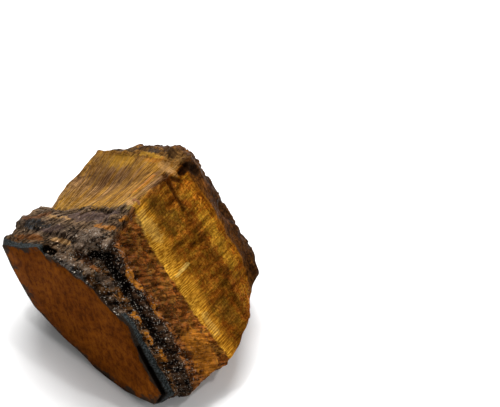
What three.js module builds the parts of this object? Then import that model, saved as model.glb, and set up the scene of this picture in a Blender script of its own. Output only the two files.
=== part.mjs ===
// A rough lump of tiger's eye: golden cross-fibre quartz between bands of black ironstone,
// sawn flat on one side and broken by hand on the others.
//
// Millimetres, +Z up. The stone lies on its broken base. Its bands are stacked along +Y,
// starting at the sawn face, whose plane is y = 0 while the stone is shaped. The whole solid
// is then moved so that the origin is under the middle of its bounding box.

import * as THREE from "three";
import { ImprovedNoise } from "three/addons/math/ImprovedNoise.js";

// ---------------------------------------------------------------------------------------
// Driving dimensions
// ---------------------------------------------------------------------------------------

// Depths behind the sawn face at which each band begins, or, for the rim, ends.
const SEAM = {
  blueRim: 2.5,
  blackStart: 5.5,
  blackEnd: 8.3,
  goldStart: 16,
  secondGoldStart: 25,
  crustStart: 30.5,
};

// How far each band stands proud of the plain surface (+) or is worn back from it (-).
const STAND = {
  blueRim: 0.2,
  flecked: -0.35,
  black: 0.45,
  ochre: 0,
  gold: -0.1,
  brown: -0.65,
  secondGold: 0,
  crust: 0.5,
};

// Half the width of the little cliff between two bands.
const LEDGE_WIDTH = 0.35;

// On the cheek, the gold sinks slowly into the brown band, which ends at a cliff.
const SINK_START = 18.5;

// Cross-sections of the stone, [x, z] at each named corner, going round from the right end
// of the base over the ridge to its left end. z = 0 is the surface that the stone rests on,
// and what would reach below it is worn off flat.
const CORNERS = ["heel", "hip", "limb", "cheek", "brow", "ridge", "roof", "tip", "tuck", "shin", "toe"];

const SECTIONS = [
  {
    y: 0,
    heel: [-8, 0.2],
    hip: [0, 3.3],
    limb: [1.9, 8.5],
    cheek: [-3.3, 16.1],
    brow: [-6.2, 23.3],
    ridge: [-15.7, 27.2],
    roof: [-30.6, 27.6],
    tip: [-41.3, 19.2],
    tuck: [-39.2, 14.6],
    shin: [-33.9, 6],
    toe: [-17, 0.6],
  },
  {
    y: 2.5,
    heel: [-6, -0.5],
    hip: [0.5, 2.2],
    limb: [3.9, 8.2],
    cheek: [-1.5, 15.6],
    brow: [-7.7, 22.3],
    ridge: [-16.3, 29.5],
    roof: [-30.4, 27],
    tip: [-42.9, 19.2],
    tuck: [-41.2, 13.8],
    shin: [-34, 5],
    toe: [-19, -0.5],
  },
  {
    y: 6,
    heel: [-5, -0.5],
    hip: [1.7, 1.5],
    limb: [5.1, 6.6],
    cheek: [-1.4, 15.4],
    brow: [-8.5, 23.3],
    ridge: [-17, 32.5],
    roof: [-29.8, 27.2],
    tip: [-43.8, 20.2],
    tuck: [-41.6, 12.5],
    shin: [-33.5, 3.5],
    toe: [-22, -0.5],
  },
  {
    y: 11,
    heel: [-4.2, -0.5],
    hip: [2, 1.8],
    limb: [5.9, 7.2],
    cheek: [-2.4, 14.8],
    brow: [-12, 24.8],
    ridge: [-18.4, 34.3],
    roof: [-30.8, 26.8],
    tip: [-44, 19.4],
    tuck: [-42.5, 11.5],
    shin: [-34.5, 3.2],
    toe: [-25, -0.5],
  },
  {
    y: 16,
    heel: [-4, -0.5],
    hip: [2.2, 2],
    limb: [6.6, 8],
    cheek: [-4, 14.4],
    brow: [-14.6, 25.7],
    ridge: [-19.5, 35.4],
    roof: [-32.7, 24.4],
    tip: [-45, 13.6],
    tuck: [-43, 9],
    shin: [-36, 3],
    toe: [-28, -0.5],
  },
  {
    y: 24,
    heel: [-6, -0.5],
    hip: [0.5, 2.5],
    limb: [4.2, 10],
    cheek: [-3.2, 16.5],
    brow: [-13, 27.8],
    ridge: [-20, 35.1],
    roof: [-35.2, 21.5],
    tip: [-45.4, 16.4],
    tuck: [-43, 10],
    shin: [-36, 3],
    toe: [-30, -0.5],
  },
  {
    y: 30,
    heel: [-9, -0.5],
    hip: [-3.5, 3],
    limb: [-0.6, 10.5],
    cheek: [-4.2, 17.4],
    brow: [-11.6, 26.8],
    ridge: [-20, 34],
    roof: [-36, 24.9],
    tip: [-44.8, 20.2],
    tuck: [-42, 11],
    shin: [-36, 4],
    toe: [-31, -0.5],
  },
  {
    y: 34,
    heel: [-12, -0.5],
    hip: [-7, 3],
    limb: [-3.4, 12.2],
    cheek: [-7.6, 18.4],
    brow: [-14.2, 26],
    ridge: [-20.8, 34.2],
    roof: [-33, 27.3],
    tip: [-44, 17.6],
    tuck: [-41, 10],
    shin: [-35, 4],
    toe: [-30, -0.5],
  },
  {
    y: 36,
    heel: [-12.5, 1.5],
    hip: [-7, 4.5],
    limb: [-5.2, 12],
    cheek: [-8.8, 17],
    brow: [-15, 24.2],
    ridge: [-22.4, 32],
    roof: [-32.4, 25.8],
    tip: [-42.3, 16.8],
    tuck: [-39, 11],
    shin: [-34, 6],
    toe: [-28, 2.5],
  },
];

// Single blocks left standing (+) and chips knocked out (-) by the break.
const BLOCKS = [
  { at: [-23.6, 5.2, 29.4], reach: 2.8, height: 0.9 },
  { at: [-20.6, 6.4, 31.4], reach: 2.8, height: 1.3 },
  { at: [-18.2, 4.4, 30.2], reach: 2.3, height: -1.1 },
  { at: [-22.4, 1.2, 27.6], reach: 1.8, height: 0.4 },
  { at: [-14.2, 9.5, 29.5], reach: 2.6, height: -0.7 },
  { at: [-28.7, 0.9, 27.6], reach: 1.9, height: -1.3 },
  { at: [-26, 9.5, 29], reach: 3, height: 0.6 },
  { at: [-9, 11.5, 22], reach: 2.2, height: -0.7 },
  { at: [-3.5, 12.5, 15.5], reach: 2.4, height: 0.6 },
  { at: [3.5, 9, 6], reach: 2.4, height: -0.4 },
  { at: [-26, 34.5, 31.5], reach: 3.6, height: 0.8 },
  { at: [-12.2, 36.2, 23], reach: 3.8, height: -1.6 },
  { at: [-4.6, 35.6, 10.6], reach: 3, height: -0.8 },
];

// Number of mesh columns from each corner to the next one.
const COLUMNS = {
  heel: 4,
  hip: 5,
  limb: 12,
  cheek: 15,
  brow: 11,
  ridge: 18,
  roof: 16,
  tip: 5,
  tuck: 7,
  shin: 7,
  toe: 8,
};

// Depths of the mesh rows, close together beside the seams.
const ROWS = [
  0, 0.5, 1, 1.5, 2.2, 2.8, 3.7, 4.6, 5.2, 5.8, 6.8, 8, 8.6, 9.6, 10.8, 12, 13.2, 14.4, 15.6, 16.3,
  17.5, 18.7, 19.8, 21, 22.2, 23.4, 24.6, 25.4, 26.6, 27.8, 29.1, 30.2, 30.9, 32, 33, 34, 35, 36,
];

// How far the middle of the broken back bulges past its rim.
const BACK_BULGE = 1.6;

const noise = new ImprovedNoise();

// ---------------------------------------------------------------------------------------
// Bands
// ---------------------------------------------------------------------------------------

function blend(from, to, value) {
  return THREE.MathUtils.smoothstep(value, from, to);
}

// 0 before a seam and 1 behind it, over the width of a ledge.
function behind(seam, depth) {
  return blend(seam - LEDGE_WIDTH, seam + LEDGE_WIDTH, depth);
}

function standOfBand(depth, cheek) {
  const sunk = blend(SINK_START, SEAM.secondGoldStart - LEDGE_WIDTH, depth);
  let stand = STAND.blueRim;
  stand += (STAND.flecked - STAND.blueRim) * behind(SEAM.blueRim, depth);
  stand += (STAND.black - STAND.flecked) * behind(SEAM.blackStart, depth);
  stand += (STAND.ochre - STAND.black) * behind(SEAM.blackEnd, depth);
  stand += (STAND.gold - STAND.ochre) * behind(SEAM.goldStart, depth);
  stand += (STAND.brown - STAND.gold) * cheek * sunk;
  stand += (STAND.gold - STAND.brown) * cheek * behind(SEAM.secondGoldStart, depth);
  stand += (STAND.secondGold - STAND.gold) * behind(SEAM.secondGoldStart, depth);
  stand += (STAND.crust - STAND.secondGold) * behind(SEAM.crustStart, depth);
  return stand;
}

// 1 in the hackly ironstone bands, less in the tight rim, 0 in the silky fibrous bands.
function hackly(depth) {
  const rim = 0.4 + 0.6 * behind(SEAM.blueRim, depth);
  const front = 1 - behind(SEAM.goldStart, depth);
  return Math.max(rim * front, behind(SEAM.crustStart, depth));
}

// ---------------------------------------------------------------------------------------
// Relief of the broken surface, as a distance outwards
// ---------------------------------------------------------------------------------------

// 1 on the cheek side of the ridge, 0 on the roof side.
function cheekShare(point) {
  const ridge = cornerAt("ridge", point.y);
  return blend(-1, 1, point.x - ridge.x);
}

function lumps(point, size, height) {
  return height * noise.noise(point.x / size + 3.1, point.y / size, point.z / size);
}

// A repeatable number from 0 to 1 for each whole-numbered cell of space.
function cellValue(cell, salt) {
  const wave = Math.sin(cell.x * 127.1 + cell.y * 311.7 + cell.z * 74.7 + salt * 53.3) * 43758.5453;
  return wave - Math.floor(wave);
}

// Shallow scoops that meet at sharp edges, as a brittle stone breaks.
function scoops(point, size, depth) {
  const local = point.clone().divideScalar(size);
  const home = local.clone().floor();
  let nearest = Infinity;
  for (let i = 0; i < 27; i += 1) {
    const cell = new THREE.Vector3((i % 3) - 1, (Math.floor(i / 3) % 3) - 1, Math.floor(i / 9) - 1);
    cell.add(home);
    const seed = new THREE.Vector3(cellValue(cell, 1), cellValue(cell, 2), cellValue(cell, 3));
    nearest = Math.min(nearest, seed.add(cell).distanceToSquared(local));
  }
  return depth * (nearest - 0.35);
}

// The uneven break of ironstone.
function hackle(point) {
  return scoops(point, 5, 1.5) + scoops(point, 2.6, 0.6) + lumps(point, 2.7, 0.5);
}

// Grooves that run along the fibres, straight back from the sawn face.
function grooves(point) {
  const wide = noise.noise(point.x / 3.4, point.y / 26, point.z / 3.4 + 31);
  const fine = noise.noise(point.x / 1.7 + 17, point.y / 18, point.z / 1.7);
  return 0.4 * wide + 0.25 * fine;
}

function blocks(point) {
  return BLOCKS.reduce((sum, block) => {
    const distance = point.distanceTo(new THREE.Vector3(...block.at));
    return sum + block.height * (1 - blend(0.45, 1, distance / block.reach));
  }, 0);
}

function relief(point) {
  const rough = hackly(point.y);
  const awayFromSaw = blend(0, 1, point.y);
  const stand = standOfBand(point.y, cheekShare(point));
  const broken = rough * hackle(point) + (1 - rough) * grooves(point) + stand;
  return lumps(point, 8.5, 0.7) + blocks(point) + (0.25 + 0.75 * awayFromSaw) * broken;
}

// ---------------------------------------------------------------------------------------
// Loft
// ---------------------------------------------------------------------------------------

function cornerAt(name, depth) {
  const last = SECTIONS.length - 1;
  const behindIndex = SECTIONS.findIndex((section) => section.y >= depth);
  const index = behindIndex < 0 ? last : Math.max(behindIndex, 1);
  const near = SECTIONS[index - 1];
  const far = SECTIONS[index];
  const share = THREE.MathUtils.clamp((depth - near.y) / (far.y - near.y), 0, 1);
  const x = THREE.MathUtils.lerp(near[name][0], far[name][0], share);
  const z = THREE.MathUtils.lerp(near[name][1], far[name][1], share);
  return new THREE.Vector2(x, z);
}

// The plain closed outline at one depth, with the same number of points at every depth.
function outlineAt(depth) {
  const points = [];
  CORNERS.forEach((name, index) => {
    const start = cornerAt(name, depth);
    const end = cornerAt(CORNERS[(index + 1) % CORNERS.length], depth);
    for (let step = 0; step < COLUMNS[name]; step += 1) {
      points.push(start.clone().lerp(end, step / COLUMNS[name]));
    }
  });
  return points;
}

// The same outline with the relief laid on, as 3-D points that never sink below the base.
function brokenRow(depth) {
  const plain = outlineAt(depth);
  return plain.map((point, index) => {
    const before = plain.at(index - 1);
    const after = plain[(index + 1) % plain.length];
    const outwards = new THREE.Vector2(after.y - before.y, before.x - after.x).normalize();
    const offset = relief(new THREE.Vector3(point.x, depth, point.y));
    const x = point.x + outwards.x * offset;
    const z = Math.max(point.y + outwards.y * offset, 0);
    return new THREE.Vector3(x, depth, z);
  });
}

function middleOf(row) {
  const sum = row.reduce((total, point) => total.add(point), new THREE.Vector3());
  return sum.divideScalar(row.length);
}

// The broken back, as a grid stretched inside the last row: side by side, its four edges use
// up all the row's points, and each inner point is blended from the edges around it.
function backPatch(rim) {
  const side = rim.length / 4;
  const rimPoint = (index) => rim[index % rim.length];
  const inner = [];
  for (let i = 1; i < side; i += 1) {
    for (let j = 1; j < side; j += 1) {
      const u = i / side;
      const v = j / side;
      const point = new THREE.Vector3();
      point.addScaledVector(rimPoint(i), 1 - v);
      point.addScaledVector(rimPoint(3 * side - i), v);
      point.addScaledVector(rimPoint(4 * side - j), 1 - u);
      point.addScaledVector(rimPoint(side + j), u);
      point.addScaledVector(rimPoint(0), -(1 - u) * (1 - v));
      point.addScaledVector(rimPoint(side), -u * (1 - v));
      point.addScaledVector(rimPoint(3 * side), -(1 - u) * v);
      point.addScaledVector(rimPoint(2 * side), -u * v);
      const inside = Math.min(1, 6 * Math.min(u, 1 - u, v, 1 - v));
      point.y += inside * (BACK_BULGE + hackle(point) + lumps(point, 6, 1.2) + blocks(point));
      inner.push(point);
    }
  }
  return inner;
}

// Index, among the rim's and the patch's points, of one place in the patch's grid.
function patchIndex(i, j, side, rimStart, innerStart) {
  const around = 4 * side;
  if (j === 0) return rimStart + i;
  if (i === side) return rimStart + side + j;
  if (j === side) return rimStart + 3 * side - i;
  if (i === 0) return rimStart + ((around - j) % around);
  return innerStart + (i - 1) * (side - 1) + (j - 1);
}

function stoneGeometry() {
  const rows = ROWS.map(brokenRow);
  const count = rows[0].length;
  const side = count / 4;
  const front = middleOf(rows[0]);
  const points = [...rows.flat(), ...backPatch(rows.at(-1)), front];
  const rimStart = (rows.length - 1) * count;
  const innerStart = rows.length * count;
  const frontIndex = points.length - 1;
  const faces = [];
  for (let column = 0; column < count; column += 1) {
    const next = (column + 1) % count;
    faces.push(frontIndex, column, next);
    for (let row = 0; row < rows.length - 1; row += 1) {
      const a = row * count + column;
      const b = row * count + next;
      faces.push(a, a + count, b + count);
      faces.push(a, b + count, b);
    }
  }
  for (let i = 0; i < side; i += 1) {
    for (let j = 0; j < side; j += 1) {
      const a = patchIndex(i, j, side, rimStart, innerStart);
      const b = patchIndex(i + 1, j, side, rimStart, innerStart);
      const c = patchIndex(i + 1, j + 1, side, rimStart, innerStart);
      const d = patchIndex(i, j + 1, side, rimStart, innerStart);
      faces.push(a, d, c);
      faces.push(a, c, b);
    }
  }
  const geometry = new THREE.BufferGeometry().setFromPoints(points);
  geometry.setIndex(faces);
  geometry.computeBoundingBox();
  const box = geometry.boundingBox;
  const middle = box.getCenter(new THREE.Vector3());
  geometry.translate(-middle.x, -middle.y, -box.min.z);
  geometry.computeVertexNormals();
  return geometry;
}

// ---------------------------------------------------------------------------------------
// Object
// ---------------------------------------------------------------------------------------

const stoneMaterial = new THREE.MeshStandardMaterial({
  color: 0x7a4f1c,
  roughness: 0.5,
  metalness: 0,
});

const stone = new THREE.Mesh(stoneGeometry(), stoneMaterial);
stone.name = "tigers_eye_stone";

const part = new THREE.Group();
part.add(stone);

export default part;
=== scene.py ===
# %% [markdown]
# # A rough lump of tiger's eye
# The stone is golden quartz grown as packed parallel fibres, lying between bands of dark
# ironstone. One side is sawn flat, and the other sides are broken. The plain solid is
# loaded first, and this lesson gives it its fine break, its fibres and its colours.

# %% Load the plain solid
import math
from collections import namedtuple
import bmesh
import bpy
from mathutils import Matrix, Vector, noise
from mathutils.geometry import intersect_point_line
from mathutils.kdtree import KDTree


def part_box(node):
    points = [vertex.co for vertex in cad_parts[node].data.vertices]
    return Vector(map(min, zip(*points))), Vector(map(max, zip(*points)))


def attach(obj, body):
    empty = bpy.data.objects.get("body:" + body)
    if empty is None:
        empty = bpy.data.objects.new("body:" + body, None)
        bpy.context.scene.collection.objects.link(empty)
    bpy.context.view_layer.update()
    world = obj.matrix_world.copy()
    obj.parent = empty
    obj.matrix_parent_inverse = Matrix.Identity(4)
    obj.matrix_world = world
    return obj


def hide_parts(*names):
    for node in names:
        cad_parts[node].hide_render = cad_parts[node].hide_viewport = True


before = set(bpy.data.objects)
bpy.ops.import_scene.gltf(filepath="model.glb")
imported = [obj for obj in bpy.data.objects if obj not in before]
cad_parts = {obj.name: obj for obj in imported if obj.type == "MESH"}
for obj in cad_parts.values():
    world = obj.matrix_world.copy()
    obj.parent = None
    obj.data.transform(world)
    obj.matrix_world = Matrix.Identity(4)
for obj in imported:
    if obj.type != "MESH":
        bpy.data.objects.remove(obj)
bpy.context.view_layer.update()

# %% [markdown]
# All shapes are in metres, but a stone of this size is easier to think about in
# millimetres. The bands are counted as depths behind the sawn face, whose plane is the
# lowest y of the solid. Each seam below is the depth at which a band begins or ends.

# %% Sizes and seams
MM = 0.001
STONE = "tigers_eye_stone"
low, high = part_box(STONE)
SAWN_Y = low[1]

ROOF_RIM_END = 1.1
RIM_END = 2.0
BLACK_START = 4.5
BLACK_END = 7.7
GOLD_START = 16.0
GOLD_END = 20.6
SECOND_GOLD = 25.6
CRUST_START = 31.0
LAST_DEPTH = 40.0
print("stone, in mm:", [round((high[i] - low[i]) / MM, 1) for i in range(3)])

# %% [markdown]
# The camera comes early, so that each later step can be looked at. It looks steeply down
# on the corner between the broken faces, from half a metre away. From there the far end
# of a small thing looks nearly as large as the near end, and a long lens brings it close.
# It aims past the stone, which therefore lies low and to the left in the frame.

# %% Camera
VIEW_AZIMUTH = math.radians(42)
VIEW_HEIGHT = math.radians(50)
VIEW_DISTANCE = 500 * MM
AIM = Vector((13.6, 16.2, 29.1)) * MM
LENS = 180

towards_camera = Vector((
    math.sin(VIEW_AZIMUTH) * math.cos(VIEW_HEIGHT),
    -math.cos(VIEW_AZIMUTH) * math.cos(VIEW_HEIGHT),
    math.sin(VIEW_HEIGHT),
))
camera_data = bpy.data.cameras.new("view")
camera_data.lens = LENS
camera_data.clip_start = 10 * MM
camera = bpy.data.objects.new("view", camera_data)
camera.location = AIM + towards_camera * VIEW_DISTANCE
camera.rotation_euler = towards_camera.to_track_quat("Z", "Y").to_euler()
bpy.context.scene.collection.objects.link(camera)
bpy.context.scene.camera = camera
print("camera at", [round(value, 3) for value in camera.location])

# %% [markdown]
# The solid has facets about a millimetre across. A copy of its mesh is merged at its
# shared corners, and every edge is cut three times, so the new corners lie a quarter of a
# millimetre apart. Smoothing then takes away the facets. The sawn face and the worn base
# are left out of it, because they have to stay flat.

# %% Fine mesh
MERGE = 0.002 * MM
FLAT = 0.02 * MM
CUTS = 3
SMOOTHINGS = 4

fine = bmesh.new()
fine.from_mesh(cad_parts[STONE].data)
bmesh.ops.remove_doubles(fine, verts=fine.verts, dist=MERGE)
bmesh.ops.subdivide_edges(fine, edges=fine.edges, cuts=CUTS, use_grid_fill=True)


def is_sawn(vert):
    return vert.co.y < SAWN_Y + FLAT


broken = [vert for vert in fine.verts if not is_sawn(vert) and vert.co.z > FLAT]
for _ in range(SMOOTHINGS):
    bmesh.ops.smooth_vert(
        fine, verts=broken, factor=0.5, use_axis_x=True, use_axis_y=True, use_axis_z=True
    )
fine.normal_update()
print("fine mesh:", len(fine.verts), "corners,", len(fine.faces), "faces")

# %% [markdown]
# Two broken faces meet at the ridge: the roof slopes down to the left, and the cheek
# slopes down to the right. They broke across the fibres in different ways, so many steps
# need to know on which of them a point lies. The ridge is nearly straight, and two short
# lines of x against depth describe it. On the broken back the two blend into each other.

# %% Roof or cheek
RIDGE_FRONT = 4.4
RIDGE_MIDDLE = 0.5
RIDGE_BACK = -1.3
BACK_DEPTH = 36.0
RIDGE_HALF_WIDTH = 0.6
BACK_HALF_WIDTH = 14
BACK_BLEND = (33, 37)


def smooth_step(start, end, value):
    share = min(max((value - start) / (end - start), 0.0), 1.0)
    return share * share * (3 - 2 * share)


def ridge_x(depth):
    if depth < GOLD_START:
        return RIDGE_FRONT + (RIDGE_MIDDLE - RIDGE_FRONT) * depth / GOLD_START
    share = (depth - GOLD_START) / (BACK_DEPTH - GOLD_START)
    return RIDGE_MIDDLE + (RIDGE_BACK - RIDGE_MIDDLE) * share


def roof_share(place):
    middle = ridge_x(place.y)
    half_width = RIDGE_HALF_WIDTH + BACK_HALF_WIDTH * smooth_step(*BACK_BLEND, place.y)
    return 1 - smooth_step(middle - half_width, middle + half_width, place.x)


def place_of(vert):
    return Vector((vert.co.x, vert.co.y - SAWN_Y, vert.co.z)) / MM


print("ridge x at the front and back, in mm:", ridge_x(0), ridge_x(BACK_DEPTH))

# %% [markdown]
# The fibres run back through the gold nearly straight across the bands. In the ironstone
# in front of it the grain leans: down the cheek, and towards the ridge on the roof. A
# point's fibre place has three lengths, all in millimetres: across the fibres along the
# surface, the depth, and through the surface. Two points on one fibre differ only in depth
# there, so noise drawn out along that depth makes grooves and threads that follow the
# fibres. On the roof the third length is kept small, because the fibres lie in its
# surface. It grows to full size on the steep left side and on the knob, the steep lump at
# the front of the roof beside the ridge.

# %% Fibre place
RIDGE = Vector((-0.4, 0.0, 34.8))
CHEEK_ACROSS = Vector((-0.65, 0.0, 0.76))
CHEEK_THROUGH = Vector((0.76, 0.0, 0.65))
ROOF_ACROSS = Vector((1.15, 0.0, 0.0))
CHEEK_LEANS = (-0.6, 0.12)
ROOF_LEANS = (0.45, 0.0)
LEFT_SIDE_X = (-17.0, -23.0)
KNOB_X = (-9, -5)
KNOB_DEPTH = (15, 12)
LYING_FLAT = 0.15
SWAY = 0.3
SWAY_SIZE = 7


def fibre_place(place, roof):
    from_ridge = place - RIDGE
    front = min(place.y - GOLD_START, 0)
    back = max(place.y - GOLD_START, 0)
    sway = SWAY * noise.noise(place / SWAY_SIZE)
    cheek_slide = CHEEK_LEANS[0] * front + CHEEK_LEANS[1] * back
    cheek_across = from_ridge.dot(CHEEK_ACROSS) - cheek_slide
    roof_slide = ROOF_LEANS[0] * front + ROOF_LEANS[1] * back
    roof_across = from_ridge.dot(ROOF_ACROSS) - roof_slide
    across = (1 - roof) * cheek_across + roof * roof_across + sway
    cheek_through = from_ridge.dot(CHEEK_THROUGH)
    on_knob = smooth_step(*KNOB_X, place.x) * smooth_step(*KNOB_DEPTH, place.y)
    steep = max(smooth_step(*LEFT_SIDE_X, place.x), on_knob)
    roof_through = from_ridge.z * (LYING_FLAT + (1 - LYING_FLAT) * steep)
    through = (1 - roof) * cheek_through + roof * roof_through
    return Vector((across, place.y, through))


print("a fibre on the roof:", fibre_place(Vector((-10, 25, 30)), 1.0))

# %% [markdown]
# Some places on a broken stone are like nowhere else: a cave at the end of the rim, a
# splinter along the ridge, a pale flake, an orange fleck. Each of these is one line of a
# list: its colour and how strong that is, the two ends of its middle line, how far it
# reaches to each side, and how high it stands. The ends are x, depth and z, and all the
# lengths are millimetres. Most colours are stains of the stone, but the black of the cave,
# of the hollow under the knob, of the crevice beside the sawn face and of a line between
# the violet and the gold is painted shade, and so is the dark of the hole at the ridge end.

# %% Marks
SLATE = (0.05, 0.055, 0.06)
# The black of the ironstone, which some marks below also use as painted shade.
BLACK_IRON_AND_SHADE = (0.006, 0.005, 0.004)
DUSK = (0.028, 0.014, 0.006)
GRIT = (0.026, 0.022, 0.019)
RUST = (0.15, 0.05, 0.01)
ORANGE = (0.36, 0.13, 0.012)
CLAY = (0.17, 0.075, 0.035)
TAN = (0.34, 0.19, 0.07)
PALE = (0.6, 0.42, 0.11)
YELLOW = (0.45, 0.24, 0.02)
OLIVE = (0.11, 0.065, 0.008)
BROWN = (0.13, 0.05, 0.006)
ASH = (0.088, 0.062, 0.044)
VIOLET = (0.06, 0.04, 0.036)

Mark = namedtuple("Mark", "stain strength start end reach height")
MARKS = [Mark(*line) for line in [
    (SLATE, 0.9, (-20.5, 6.5, 21.8), (-15.1, 6.7, 24.5), 1.5, -0.3),
    (CLAY, 0.7, (-22.2, 7.5, 21.5), (-18.7, 10.4, 22.7), 1.4, -0.2),
    (TAN, 0.5, (-17.8, 10.1, 23.0), (-11.9, 10.5, 26.3), 0.7, 0.1),
    (TAN, 0.6, (-10.8, 4.3, 26.7), (-6.8, 4.8, 28.0), 0.8, 0.0),
    (RUST, 0.6, (-19.1, 2.7, 21.7), (-14.0, 3.6, 24.8), 1.4, 0.0),
    (VIOLET, 0.8, (-15.8, 5.9, 24.7), (-11.2, 6.7, 27.3), 1.3, 0.0),
    (VIOLET, 0.8, (-13.8, 11.6, 25.0), (-3.2, 13.2, 32.2), 2.6, 0.0),
    # Painted shade: a shadow line between the violet patch and the gold.
    (BLACK_IRON_AND_SHADE, 0.7, (-10.6, 14.8, 26.6), (-3.0, 14.9, 31.2), 0.7, -0.3),
    (ORANGE, 0.7, (0.2, 12.8, 33.8), (1.0, 13.6, 34.0), 0.8, 0.0),
    (ORANGE, 0.5, (-3.9, 10.0, 30.9), (2.0, 11.0, 32.9), 0.9, 0.0),
    (ASH, 0.75, (-2.2, 6.8, 32.6), (-3.4, 5.4, 30.2), 2.6, 0.45),
    (CLAY, 0.4, (-3.2, 3.5, 28.6), (0.2, 3.6, 28.9), 1.1, -0.5),
    # Painted shade: the hollow under the overhanging knob.
    (BLACK_IRON_AND_SHADE, 0.95, (0.1, 4.7, 30.0), (4.1, 5.7, 32.1), 1.1, -0.7),
    # Painted shade: the cave at the end of the rim.
    (BLACK_IRON_AND_SHADE, 1.0, (-9.6, 1.3, 26.7), (-7.8, 1.8, 27.3), 1.0, -0.8),
    (ASH, 0.5, (-7.0, 1.6, 27.6), (-1.8, 1.9, 28.4), 1.2, 0.0),
    (ASH, 0.8, (-0.5, 1.9, 28.4), (2.2, 1.7, 28.9), 0.6, 0.1),
    (SLATE, 0.7, (-1.6, 0.7, 27.8), (1.1, 0.4, 27.6), 0.7, -0.2),
    (BROWN, 0.5, (2.6, 0.9, 28.5), (6.6, 1.2, 27.1), 1.1, -0.3),
    (ASH, 0.6, (4.4, 2.2, 29.3), (6.4, 3.1, 27.0), 1.0, 0.2),
    (RUST, 0.8, (0.8, 3.3, 28.8), (3.6, 2.8, 30.0), 0.7, 0.2),
    (BLACK_IRON_AND_SHADE, 0.95, (4.2, 4.8, 30.6), (7.9, 5.2, 26.4), 1.2, -0.4),
    (ORANGE, 0.6, (7.2, 7.1, 28.0), (9.3, 8.1, 24.4), 1.2, 0.3),
    (BLACK_IRON_AND_SHADE, 0.9, (9.9, 8.6, 25.2), (10.4, 9.8, 24.4), 0.6, -0.5),
    (BLACK_IRON_AND_SHADE, 0.7, (8.3, 4.9, 25.7), (17.5, 4.8, 16.1), 0.9, -0.2),
    (ORANGE, 0.7, (8.6, 3.4, 26.6), (9.6, 3.5, 25.4), 0.8, 0.1),
    (ORANGE, 0.7, (12.0, 3.4, 22.6), (13.2, 3.6, 21.2), 0.8, 0.1),
    (ORANGE, 0.7, (15.4, 3.4, 19.2), (16.8, 3.6, 17.4), 0.8, 0.1),
    (ORANGE, 0.6, (18.4, 4.0, 15.0), (19.4, 4.1, 13.4), 0.8, 0.1),
    (ORANGE, 0.5, (13.2, 8.4, 22.4), (14.6, 8.4, 20.8), 1.0, 0.1),
    (ORANGE, 0.6, (20.0, 12.6, 13.6), (23.4, 11.6, 8.4), 3.4, 0.0),
    (PALE, 0.25, (2.0, 16.8, 32.6), (5.4, 17.6, 27.8), 2.0, 0.0),
    (PALE, 0.25, (18.6, 17.0, 14.6), (21.0, 17.2, 11.2), 1.3, 0.0),
    (PALE, 0.5, (10.5, 17.1, 20.5), (10.6, 20.5, 21.5), 0.5, 0.15),
    (YELLOW, 0.55, (8.2, 28.4, 26.7), (15.5, 28.3, 18.3), 2.0, 0.0),
    (OLIVE, 0.45, (1.2, 20.5, 33.7), (5.3, 21.7, 28.2), 2.8, 0.0),
    (OLIVE, 0.5, (19.0, 21.6, 13.6), (20.4, 21.8, 10.6), 2.6, 0.0),
    (RUST, 0.5, (-0.4, 19.4, 34.4), (0.2, 23.3, 34.4), 0.9, 0.2),
    (ORANGE, 0.5, (-4.0, 20.4, 31.7), (-4.1, 26.4, 31.6), 0.9, 0.3),
    (BROWN, 0.5, (-2.8, 19.4, 32.8), (-3.3, 24.4, 32.0), 0.5, -0.2),
    (TAN, 0.9, (-2.7, 17.4, 33.0), (-0.6, 16.6, 34.4), 0.8, 0.1),
    (CLAY, 0.9, (-1.2, 17.9, 34.2), (0.5, 17.5, 34.8), 0.6, 0.3),
    (BROWN, 0.5, (-2.2, 27.4, 33.2), (0.8, 25.9, 33.9), 0.7, -0.4),
    (BROWN, 0.45, (0.8, 25.9, 33.9), (5.1, 25.3, 29.5), 0.6, -0.3),
    (TAN, 0.5, (-5.2, 30.1, 31.4), (-2.4, 29.0, 32.9), 1.4, 0.0),
    (TAN, 0.5, (-2.4, 29.0, 32.9), (0.0, 28.3, 34.0), 1.0, 0.1),
    (YELLOW, 0.3, (-18.0, 29.2, 23.2), (-14.1, 30.1, 26.1), 2.3, 0.0),
    (ORANGE, 0.35, (-9.6, 30.3, 29.2), (-6.1, 30.9, 31.6), 1.1, 0.0),
    # Painted shade: the next three stains darken the hole and dents at the end of the ridge.
    (DUSK, 0.6, (0.4, 27.3, 34.0), (1.3, 28.4, 33.0), 0.8, -0.2),
    (DUSK, 0.9, (0.3, 29.9, 33.6), (0.3, 31.2, 33.9), 1.2, -0.7),
    (DUSK, 0.8, (0.4, 31.8, 33.7), (1.3, 33.1, 32.0), 1.4, -0.3),
    (GRIT, 0.7, (-20.5, 31.9, 23.3), (-16.0, 32.6, 25.9), 1.5, 0.0),
    (DUSK, 0.8, (-14.5, 33.3, 26.8), (-11.2, 34.8, 28.1), 1.5, 0.0),
    (GRIT, 0.7, (-11.6, 33.0, 28.5), (-8.8, 32.8, 30.3), 0.9, 0.0),
    (DUSK, 0.8, (-8.0, 33.9, 31.2), (-4.2, 32.9, 32.6), 1.4, 0.0),
    (YELLOW, 0.4, (-12.8, 31.9, 27.3), (-6.4, 31.2, 31.2), 0.8, 0.2),
    # Painted shade: the crevice between the cheek and the sawn face, in three pieces.
    (BLACK_IRON_AND_SHADE, 1.0, (15.6, 0.5, 18.0), (18.4, 0.6, 13.4), 0.7, -0.6),
    (BLACK_IRON_AND_SHADE, 1.0, (18.4, 0.6, 13.4), (21.8, 0.7, 8.4), 0.8, -0.8),
    (BLACK_IRON_AND_SHADE, 1.0, (21.8, 0.7, 8.4), (20.7, 0.5, 5.0), 0.7, -0.6),
]]
print("marks:", len(MARKS))

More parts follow.
